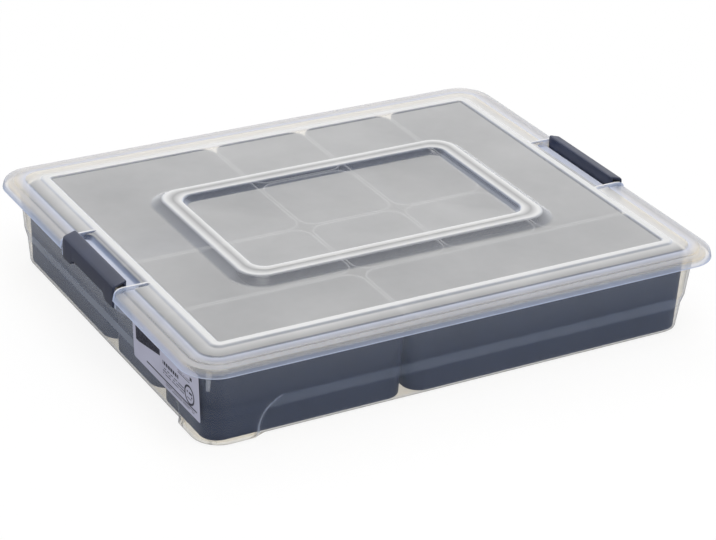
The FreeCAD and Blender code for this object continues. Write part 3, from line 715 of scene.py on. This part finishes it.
class AddLid(bpy.types.Operator):
    """Add the milky lid: flared skirt, stepped rim, ridge, field, raised ring and two clip notches"""

    bl_idname = "storage_box.add_lid"
    bl_label = "Add lid"

    def execute(self, context):
        """Blend the plain, border and notch profiles by each station's distance from the notch.

        The ledge's corners are then rounded: a station whose distance past the start of the corner
        is d moves inward by r - sqrt(r^2 - d^2), r being the radius of the corner."""
        lid = context.scene.box_lid
        half_x, half_y = lid_half()
        reach = half_y - lid.corner
        keep = 47.5 * MM
        half_span = lid.notch_span / 2
        border_start, border_end = 42.9 * MM, 43.7 * MM
        steps = np.array([0, 12, 24, 33, 36, 37.5, 39, 40.2, 41, 41.2, 41.4, 41.7, 42.3, 42.9, 43.3, 43.7,
                          45, 47.5])
        steps = np.concatenate([steps * MM, np.linspace(keep, reach, 8)[1:-1]])
        across = np.concatenate([-steps[:0:-1], steps]) / reach
        loop = round_loop(np.linspace(-1, 1, 14)[1:-1], across)
        beside = np.abs(loop[:, 1]) * reach
        short = np.abs(loop[:, 2]) > 0.999
        open_share = np.where(short & (beside <= half_span + 0.1 * MM), 1.0, 0.0)
        border_share = (1 - smooth(border_start, border_end, beside)) * (1 - open_share) * short
        shares = np.stack([1 - open_share - border_share, border_share, open_share])
        grids, milks = [], []
        for profile in lid_profiles(lid):
            rows = soften(profile, PLANE)
            grids.append(carry_round(rows[:, :MILK], loop, (0.0, keep)))
            milks.append(np.broadcast_to(rows[:, [MILK]], grids[-1].shape[:2]))
        points = np.einsum("ks,krsc->rsc", shares, np.array(grids))
        milk = np.einsum("ks,krs->rs", shares, np.array(milks))

        corner = lid.ledge_corner
        past = np.clip(beside - (half_span - corner), 0, corner)
        pull = corner - np.sqrt(np.maximum(corner ** 2 - past ** 2, 0))
        ledge_x = half_x - lid.notch_depth - lid.ledge_depth
        outward = np.abs(points[:, :, 0])
        near = smooth(ledge_x - 2.5 * MM, ledge_x - 0.1 * MM, outward)
        near = near * (1 - smooth(ledge_x + 2.2 * MM, ledge_x + 6 * MM, outward))
        top_rows = np.arange(len(points))[:, None] < (RIDGE_FOOT + 7) * (EDGE_STEPS + 1)
        points[:, :, 0] += np.sign(points[:, :, 0]) * near * pull * open_share * top_rows

        piece = new_piece("lid_shell", points.reshape(-1, 3), grid_faces(*points.shape[:2]), "lid",
                          finish("milky_lid"), milk)
        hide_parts("lid")
        return {"FINISHED"}


# Box

def box_rows(box):
    """The box's profile from the middle of its underside, over the rim, to the middle of its floor."""
    half_x, half_y = lid_half()
    top = BASE_HIGH[2]
    flange = top - box.lip_rise
    step = box.rim_inset + box.upper_lean
    lower = step + box.step_depth
    foot = lower + box.foot_lean
    lid_corner = bpy.context.scene.box_lid.corner
    wall = box.wall

    def row(inset, level, milk, soft, radius=None):
        radius = lid_corner - inset if radius is None else radius
        return (half_x - inset, half_y - inset, radius, level, milk, soft * MM)

    def between(low, high):
        """Two rows that share out the way from one row to the next."""
        low, high = np.array(low), np.array(high)
        rows = [low + (high - low) * part for part in (1 / 3, 2 / 3)]
        return [(*values[:SOFT], 0) for values in rows]

    middle = half_x - half_y
    outer, inner = box.corner, box.corner - wall
    lip = box.lip_inset
    below = box.step_top - box.step_drop
    heel = row(lower + box.foot_lean * 0.7, 6 * MM, 1, 0, outer)
    upper_wall = row(lower, below - 0.8 * MM, 1, 0.3, outer)
    band_low = row(lower, below + 0.8 * MM, 1.7, 0.8, outer)
    band_high = row(step, box.step_top - 0.8 * MM, 1.7, 0.8, outer)
    return np.array([
        (middle, 0, 0, 0, 1, 0),
        row(foot, 0, 2, box.base_round / MM, outer),
        heel, *between(heel, upper_wall), upper_wall,
        band_low, *between(band_low, band_high), band_high,
        row(step, box.step_top + 0.8 * MM, 1, 0.3, outer),
        row(box.rim_inset, flange - box.flange_wall, 1.2, 1.0, outer),
        row(box.flange_inset, flange - box.flange_wall, 1.2, 0.5),
        row(box.flange_inset, flange, 1.2, 0.5),
        row(lip, flange, 0.8, 0.4),
        row(lip, top, 1.2, 0.5),
        row(lip + box.lip_wall, top, 1.2, 0.5),
        row(lip + box.lip_wall, flange, 0.8, 0.4),
        row(box.rim_inset + wall, flange, 0.8, 0.6, inner),
        row(step + wall, box.step_top, 0, 3, inner),
        row(lower + wall, below, 0, 3, inner),
        row(foot + wall, box.floor, 0, 2.6, inner),
        (middle, 0, 0, box.floor, 0, 0),
    ])


class AddShell(bpy.types.Operator):
    """Add the clear box: stepped wall, two corner posts, flange and upstanding lip"""

    bl_idname = "storage_box.add_shell"
    bl_label = "Add clear box"

    def execute(self, context):
        """Carry the wall's profile round the box, then push it out at the posts and lower the lip.

        A post is pushed out by the gap between its own lean and the wall's. Its share is a smooth
        step of the distance along the wall from its corner, less a reach that widens with height.
        Stations lie close together where the posts end, and where the lip ends beside a clip."""
        box, lid = context.scene.box_shell, context.scene.box_lid
        half_x, half_y = lid_half()
        rows = soften(box_rows(box), PLANE)
        keep = np.array([168.0, 130.0]) * MM
        long_reach, short_reach = half_x - lid.corner, half_y - lid.corner
        long_post = keep[0] - np.arange(0, 47, 1.5) * MM
        short_post = np.arange(84, 130.1, 1.5) * MM
        lip_end = np.array([44, 44.5, 45.5, 46, 52, 60, 68, 76]) * MM
        along = np.concatenate([np.arange(-120, 121, 8) * MM, long_post, -long_post,
                                [-173 * MM, 173 * MM]])
        across = np.concatenate([np.arange(-42, 43, 7) * MM, short_post, -short_post, lip_end, -lip_end,
                                 [-134.5 * MM, 134.5 * MM]])
        loop = round_loop(np.unique(along) / long_reach, np.unique(across) / short_reach)
        points = carry_round(rows[:, :MILK], loop, keep)
        x, y, z = points[:, :, 0], points[:, :, 1], points[:, :, 2]

        step = box.rim_inset + box.upper_lean
        lower = step + box.step_depth
        below = box.step_top - box.step_drop
        wall_inset = np.interp(z, [0, below, box.step_top], [lower + box.foot_lean, lower, step])
        post_inset = np.interp(z, [0, box.step_top], [step + box.post_lean, step])
        reach = box.post_reach + box.post_flare * (z / box.step_top).clip(0, 1) ** 3
        from_left = np.maximum(x + half_x, y + half_y)
        from_right = np.maximum(half_x - x, half_y - y)
        distance_along = np.minimum(from_left, from_right)
        post_edge, wall_depth = 2.4 * MM, 22 * MM
        share_of_post = 1 - smooth(reach - post_edge, reach + post_edge, distance_along)
        near_edge = (np.abs(x) > half_x - wall_depth) | (np.abs(y) > half_y - wall_depth)
        on_wall = (z < box.step_top) & near_edge
        toe_reach, toe_height = 1.6 * MM, 5 * MM
        post_toe = toe_reach * (1 - z / toe_height).clip(0, 1)
        push = np.where(on_wall, share_of_post * (wall_inset - post_inset + post_toe), 0)
        points[:, :, :2] += push[:, :, None] * loop[None, :, 2:]
        points[:, :, 2] += np.where(z < 0.5 * MM, box.foot_rise * (1 - share_of_post), 0)
        turning = np.where(on_wall, 4 * share_of_post * (1 - share_of_post), 0)
        haze = rows[:, [MILK]]
        plain = np.minimum(haze, 1)
        milk = haze + (plain - haze) * share_of_post * on_wall + 1.6 * turning * plain

        flange = BASE_HIGH[2] - box.lip_rise
        gap = lid.notch_span / 2 + box.lip_gap
        short = np.abs(loop[None, :, 2]) > 0.999
        kept = np.where(short, smooth(gap, gap + 1.0 * MM, np.abs(y)), 1.0)
        points[:, :, 2] = np.where(z > flange, flange + (z - flange) * kept, z)

        piece = new_piece("box_shell", points.reshape(-1, 3), grid_faces(*points.shape[:2]), "box",
                          finish("clear_box"), milk)
        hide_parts("box_base")
        return {"FINISHED"}


class AddLugs(bpy.types.Operator):
    """Add the hinge lugs under the flange at both short sides, and a small rib at two corners"""

    bl_idname = "storage_box.add_lugs"
    bl_label = "Add hinge lugs"

    def execute(self, context):
        """Set flat plates with rounded outlines across the hinge axis."""
        box, clip = context.scene.box_shell, context.scene.box_clips
        half_x, half_y = lid_half()
        flange = BASE_HIGH[2] - box.lip_rise
        under = flange - 0.5 * box.flange_wall
        half = clip.length / 2
        place = half + box.lug_gap + box.lug_wall / 2
        for side, name in ((-1, "left"), (1, "right")):
            root = half_x - box.rim_inset - 0.5 * box.wall
            edge = half_x - 0.4 * MM
            outline = soften([
                (root, flange - box.lug_height, 0.4 * MM),
                (edge, clip.hinge_level - clip.barrel, 2.0 * MM),
                (edge, LID_LOW[2] - 0.6 * MM, 0.8 * MM),
                (half_x - box.flange_inset - 0.4 * MM, LID_LOW[2] - 0.4 * MM, 0.3 * MM),
                (half_x - box.flange_inset - 0.4 * MM, under, 0.2 * MM),
                (root, under, 0.2 * MM),
            ], [0, 1], closed=True)
            outline[:, 0] *= side
            points, faces = join_parts([
                plate(outline, middle - box.lug_wall / 2, middle + box.lug_wall / 2)
                for middle in (-place, place)
            ])
            new_piece("hinge_lugs_" + name, points, faces, "box",
                      finish("clear_box"), np.full(len(points), 4.0))
            rib_low, rib_half = 45 * MM, 0.7 * MM
            root = half_y - box.rim_inset - 0.5 * box.wall
            edge = half_y - box.flange_inset - 2.5 * MM
            outline = soften([(root, rib_low, 0.3 * MM), (edge - 3 * MM, rib_low, 1.0 * MM),
                              (edge, under, 0.2 * MM), (root, under, 0.2 * MM)], [0, 1], closed=True)
            outline[:, 0] *= side
            middle = side * (half_x - box.corner_rib)
            points, faces = plate(outline, middle - rib_half, middle + rib_half)
            points = points[:, :, [1, 0, 2]].reshape(-1, 3)
            new_piece("corner_rib_" + name, points, faces, "box",
                      finish("clear_box"), np.full(len(points), 1.5))
        return {"FINISHED"}


# Clips

class AddClips(bpy.types.Operator):
    """Add the two dark snap clips with their hooks, feet, hinge barrels and pins"""

    bl_idname = "storage_box.add_clips"
    bl_label = "Add clips"

    def execute(self, context):
        """Carry the hook's profile along Y, turning its lower edge into a barrel at both feet.

        The share of the foot profile is a smooth step of the distance from the middle."""
        clip = context.scene.box_clips
        face = CLIP_HIGH[0]
        crest, nose = clip.reach, clip.reach + clip.nose
        wall, top = clip.wall, CLIP_HIGH[2]
        hinge, barrel = clip.hinge_inset, clip.barrel
        foot_bottom = clip.hinge_level - barrel
        upper = [
            (wall, clip.shoulder - wall, 1.0),
            (nose - wall, top - wall - clip.nose_drop / 2, 0.8),
            (nose - wall, clip.toe, 0.5),
            (nose - 0.2 * MM, clip.toe, 0.6),
            (nose, top - clip.nose_drop, 0.9),
            (crest, top, 1.3),
            (0.15 * MM, clip.shoulder, 2.2),
        ]
        middle = [(0, clip.skirt, 0.7), (wall, clip.skirt, 0.5), (wall, clip.skirt + 0.6 * MM, 0),
                  (wall, clip.skirt + 1.2 * MM, 0), (wall, clip.skirt + 1.8 * MM, 0)]
        foot = [(0, foot_bottom, 1.2), (hinge + barrel * 0.8, foot_bottom, 1.6),
                (hinge + barrel, clip.hinge_level, 1.0),
                (hinge + barrel * 0.8, clip.hinge_level + barrel, 1.6),
                (wall, clip.hinge_level + barrel + 1.6 * MM, 1.0)]
        scale = np.array([1, 1, MM])
        middle_rows = soften(np.array(middle + upper) * scale, [0, 1], closed=True)
        foot_rows = soften(np.array(foot + upper) * scale, [0, 1], closed=True)

        half = clip.length / 2
        inner = half - clip.foot
        turn = np.linspace(0, math.pi / 2, 5)
        rounding = 0.9 * MM
        ends = half - rounding * (1 - np.sin(turn))
        steps = np.concatenate([[0, 8, 16, 22], np.linspace(inner - clip.taper, inner, 9) / MM]) * MM
        steps = np.concatenate([steps, [inner + 3 * MM, inner + 6 * MM], ends])
        places = np.concatenate([-steps[:0:-1], steps])
        inset = np.concatenate([np.zeros(len(steps) - 5), rounding * (1 - np.cos(turn))])
        inset = np.concatenate([inset[:0:-1], inset])
        share_of_foot = smooth(inner - clip.taper, inner, np.abs(places))[:, None, None]
        outline = middle_rows[None] * (1 - share_of_foot) + foot_rows[None] * share_of_foot
        ahead = np.roll(outline, -1, axis=1) - np.roll(outline, 1, axis=1)
        inward = np.stack([-ahead[:, :, 1], ahead[:, :, 0]], axis=2)
        inward /= np.maximum(np.linalg.norm(inward, axis=2, keepdims=True), 1e-9)
        outline = outline + inward * np.minimum(inset, 0.55 * MM)[:, None, None]
        count = outline.shape[1]

        for side, name in ((-1, "clip_left"), (1, "clip_right")):
            points = np.stack([side * (face - outline[:, :, 0]),
                               np.broadcast_to(places[:, None], outline.shape[:2]),
                               outline[:, :, 1]], axis=2)
            faces = grid_faces(len(places), count).tolist()
            faces += [list(range(count)), list(range(len(places) * count - count, len(places) * count))]
            parts = [(points, faces)]
            for sign in (-1, 1):
                pin_start, pin_end = sorted((sign * (half - clip.foot / 2), sign * CLIP_HIGH[1]))
                start = np.array([side * (face - hinge), pin_start, clip.hinge_level])
                parts.append(rod(start, start + (0, pin_end - pin_start, 0), clip.pin))
            points, faces = join_parts(parts)
            piece = new_piece(name + "_cover", points, faces, name,
                              finish("dark_clip"), sharp=50)
            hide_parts(name)
        return {"FINISHED"}


# Trays

class AddTrays(bpy.types.Operator):
    """Add the ten open trays, each in its own place in the grid"""

    bl_idname = "storage_box.add_trays"
    bl_label = "Add trays"

    def execute(self, context):
        """Carry a tray's profile from under its floor, over the rim, to the top of its floor."""
        tray = context.scene.box_trays
        loop = round_loop(np.linspace(-1, 1, 6)[1:-1], np.linspace(-1, 1, 6)[1:-1])
        for node in TRAYS:
            low, high = (np.array(corner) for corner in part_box(node))
            half_x, half_y = (high - low)[:2] / 2
            middle = (max(half_x - half_y, 0), max(half_y - half_x, 0))
            wall, lean = tray.wall, tray.lean

            def row(inset, level, radius, rim, soft):
                return (half_x - inset, half_y - inset, radius, level, rim, soft * MM)

            bottom = low[2] - tray.drop
            rows = soften([
                (*middle, 0, bottom, 0, 0),
                row(lean, bottom, tray.corner, 0, 1.1),
                row(0.1 * MM, high[2] - 1.4 * MM, tray.corner, 0, 0.1),
                # The two rim rows carry 1 in the milk column, which paints the lighter rim colour there as
                # a highlight.
                row(0, high[2], tray.corner, 1, 0.55),
                row(wall, high[2], tray.corner - wall, 1, 0.55),
                row(wall + 0.1 * MM, high[2] - 1.4 * MM, tray.corner - wall, 0, 0.1),
                row(lean + wall, bottom + tray.floor, tray.corner - wall, 0, 3.2),
                (*middle, 0, bottom + tray.floor, 0, 0),
            ], PLANE)
            points = carry_round(rows, loop)
            # Share of the painted rim highlight at each point.
            rim = np.broadcast_to(rows[:, [MILK]], points.shape[:2])
            points[:, :, :2] += (low + high)[:2] / 2
            body = frame["nodes"][node]["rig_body"]
            piece = new_piece(node + "_shell", points.reshape(-1, 3), grid_faces(*points.shape[:2]), body,
                              finish("navy_tray"), rim)
            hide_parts(node)
        return {"FINISHED"}


# Label

class AddLabel(bpy.types.Operator):
    """Add the paper label on the left short side"""

    bl_idname = "storage_box.add_label"
    bl_label = "Add label"

    def execute(self, context):
        """Lay a thin sheet on the leaning wall: its outline is a rectangle with small round corners."""
        half_z = (LABEL_HIGH[2] - LABEL_LOW[2]) / 2
        half_y = (LABEL_HIGH[1] - LABEL_LOW[1]) / 2
        thick = 0.28 * MM
        scales = [0, 0.3, 0.7, 1.0, 1.0, 1.0, 0.7, 0.3, 0]
        depth = np.array([1, 1, 1, 0.9, 0.5, 0.1, 0, 0, 0]) * thick
        loop = round_loop(np.linspace(-1, 1, 30)[1:-1], np.linspace(-1, 1, 12)[1:-1])
        inset = np.array([0, 0, 0.1, 0.02, 0, 0.02, 0.1, 0, 0]) * MM
        rows = np.array([
            (half_y * scale - part, half_z * scale - part, 1.5 * MM * scale, level)
            for scale, part, level in zip(scales, inset, depth)
        ])
        flat = carry_round(rows, loop)
        y = flat[:, :, 0] + (LABEL_LOW[1] + LABEL_HIGH[1]) / 2
        z = flat[:, :, 1] + (LABEL_LOW[2] + LABEL_HIGH[2]) / 2
        upward = (z - LABEL_LOW[2]) / (LABEL_HIGH[2] - LABEL_LOW[2])
        lean = (LABEL_HIGH[0] - LABEL_LOW[0]) - 0.3 * MM
        x = LABEL_HIGH[0] - lean * upward - flat[:, :, 2]
        points = np.stack([x, y, z], axis=2)
        piece = new_piece("label_sheet", points.reshape(-1, 3), grid_faces(*points.shape[:2]), "box",
                          finish("printed_label"))
        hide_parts("product_label")
        return {"FINISHED"}


# Stage

def floor_material():
    """Pale floor that takes the shadow near the box and fades to white further out.

    Gloss shows it as a calm grey, as it would show the less lit floor of a studio."""
    tree = Tree("pale_floor")
    away = tree.add("VectorMath", output=1, settings={"operation": "LENGTH"}, Vector=tree.place())
    fade = tree.between(away, 0.25, 0.6)
    rays = tree.add("LightPath").node
    diffuse = tree.add("BsdfDiffuse", Color=rgba((0.93, 0.93, 0.93)))
    shade = tree.blend(rays.outputs["Is Glossy Ray"], rgba((1, 1, 1)), rgba((0.22, 0.22, 0.22)))
    glow = tree.add("Emission", Color=shade, Strength=1.0)
    seen = tree.math("MAXIMUM", rays.outputs["Is Camera Ray"], rays.outputs["Is Transmission Ray"])
    seen = tree.math("MAXIMUM", seen, rays.outputs["Is Glossy Ray"])
    share_white = tree.math("MULTIPLY", seen, tree.between(fade, 0, 1, 0.86, 1.0))
    return tree.finish(tree.mix_shaders(share_white, diffuse, glow))


class AddStage(bpy.types.Operator):
    """Add the pale floor, the soft lamps, the world and the camera"""

    bl_idname = "storage_box.add_stage"
    bl_label = "Add stage"

    def execute(self, context):
        """Place the camera by its angles and by where the foot of the box lies in its view."""
        scene, stage = context.scene, context.scene.box_stage
        half = stage.floor / 2
        mesh = bpy.data.meshes.new("pale_floor")
        corners = [(-half, -half, 0), (half, -half, 0), (half, half, 0), (-half, half, 0)]
        mesh.from_pydata(corners, [], [(0, 1, 2, 3)])
        mesh.materials.append(floor_material())
        floor = bpy.data.objects.new("pale_floor", mesh)
        floor.location.z = -0.2 * MM
        scene.collection.objects.link(floor)

        world = bpy.data.worlds.new("studio")
        scene.world = world
        world.use_nodes = True
        nodes, links = world.node_tree.nodes, world.node_tree.links
        nodes.clear()
        background = nodes.new("ShaderNodeBackground")
        rays = nodes.new("ShaderNodeLightPath")
        output = nodes.new("ShaderNodeOutputWorld")
        strength = nodes.new("ShaderNodeMapRange")
        strength.inputs["To Min"].default_value = 0.55
        strength.inputs["To Max"].default_value = 1.0
        seen = rays.outputs["Is Camera Ray"]
        for kind in ("Is Glossy Ray", "Is Transmission Ray"):
            either = nodes.new("ShaderNodeMath")
            either.operation = "MAXIMUM"
            links.new(seen, either.inputs[0])
            links.new(rays.outputs[kind], either.inputs[1])
            seen = either.outputs[0]
        links.new(seen, strength.inputs["Value"])
        links.new(strength.outputs[0], background.inputs["Strength"])
        links.new(background.outputs[0], output.inputs["Surface"])
        background.inputs["Color"].default_value = (1, 1, 1, 1)

        for name, place, size, power in (
            ("key_lamp", (-0.1, -0.5, 1.6), 1.3, 14),
            ("back_lamp", (0.3, 0.9, 1.6), 1.2, 8),
        ):
            light = bpy.data.lights.new(name, "AREA")
            light.shape, light.size, light.energy = "DISK", size, power
            lamp = bpy.data.objects.new(name, light)
            lamp.location = place
            lamp.rotation_euler = (-Vector(place)).to_track_quat("-Z", "Y").to_euler()
            scene.collection.objects.link(lamp)

        pitch, yaw, roll = stage.pitch, stage.yaw, stage.roll
        ahead = Vector((math.sin(yaw) * math.cos(pitch), math.cos(yaw) * math.cos(pitch), -math.sin(pitch)))
        right = Vector((math.cos(yaw), -math.sin(yaw), 0))
        up = right.cross(ahead)
        view_x = math.cos(roll) * right + math.sin(roll) * up
        view_y = -math.sin(roll) * right + math.cos(roll) * up
        data = bpy.data.cameras.new("camera")
        data.lens, data.sensor_width, data.sensor_fit = stage.focal, 36, "HORIZONTAL"
        data.clip_start, data.clip_end = 0.05, 20
        camera = bpy.data.objects.new("camera", data)
        place = -ahead * stage.away - (view_x * stage.side - view_y * stage.drop)
        turned = Matrix((view_x, view_y, -ahead)).transposed().to_4x4()
        camera.matrix_world = Matrix.Translation(place) @ turned
        scene.collection.objects.link(camera)
        scene.camera = camera
        scene.view_settings.view_transform = "Standard"
        scene.cycles.transparent_max_bounces = 32
        return {"FINISHED"}


class StorageBoxPanel(bpy.types.Panel):
    """The sizes, colours and steps of the storage box"""

    bl_idname = "VIEW3D_PT_storage_box"
    bl_label = "Storage box"
    bl_space_type = "VIEW_3D"
    bl_region_type = "UI"
    bl_category = "Storage Box"

    def draw(self, context):
        """List every step with a button, then every group of settings."""
        for operator in OPERATORS:
            self.layout.operator(operator.bl_idname)
        for name, group in SETTINGS.items():
            box = self.layout.box()
            box.label(text=name.replace("_", " "))
            for field in group.__annotations__:
                box.prop(getattr(context.scene, name), field)


OPERATORS = (AddStage, AddShell, AddLugs, AddTrays, AddLabel, AddLid, AddClips)


def register():
    """Register the settings, the steps and the panel."""
    for item in (*SETTINGS.values(), *OPERATORS, StorageBoxPanel):
        bpy.utils.register_class(item)
    for name, group in SETTINGS.items():
        setattr(bpy.types.Scene, name, PointerProperty(type=group))


def unregister():
    """Take away what register added."""
    for name in SETTINGS:
        delattr(bpy.types.Scene, name)
    for item in (StorageBoxPanel, *reversed(OPERATORS), *reversed(SETTINGS.values())):
        bpy.utils.unregister_class(item)


def main():
    """Build the whole object."""
    register()
    for operator in OPERATORS:
        group, name = operator.bl_idname.split(".")
        getattr(getattr(bpy.ops, group), name)()


if __name__ == "__main__":
    main()
